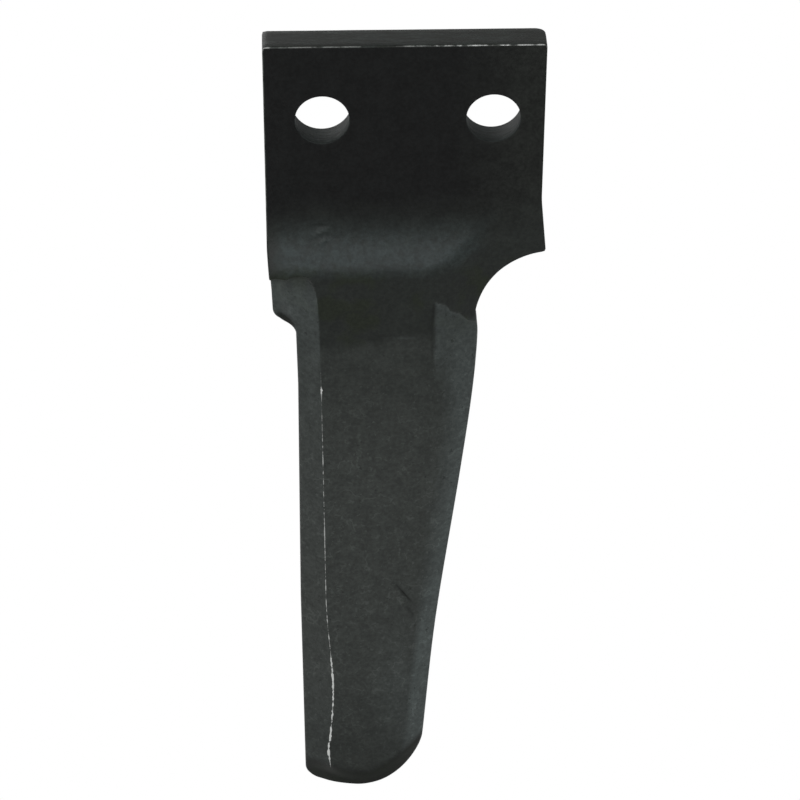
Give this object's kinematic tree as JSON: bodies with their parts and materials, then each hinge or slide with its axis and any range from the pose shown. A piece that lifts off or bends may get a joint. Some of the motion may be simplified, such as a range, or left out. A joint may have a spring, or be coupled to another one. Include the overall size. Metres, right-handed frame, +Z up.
{
  "type": "power harrow blade",
  "caption": "Forged power harrow blade: a flat bolt plate at the top, a forward step and a long tapering blade with a bevelled leading edge and a rounded tip.",
  "frame": {"origin": "on the plate's back face, midway between the two bolt holes", "axes": "+Z up along the blade towards the plate's top edge, -Y out of the blade's front face, +X to the right seen from the front, along the line of the two holes"},
  "size_m": [0.1004, 0.0275, 0.3235],
  "materials": {
    "painted_forging": "satin black paint over a forged steel surface"
  },
  "bodies": {
    "root": {"harrow_blade": "painted_forging"}
  },
  "joints": []
}
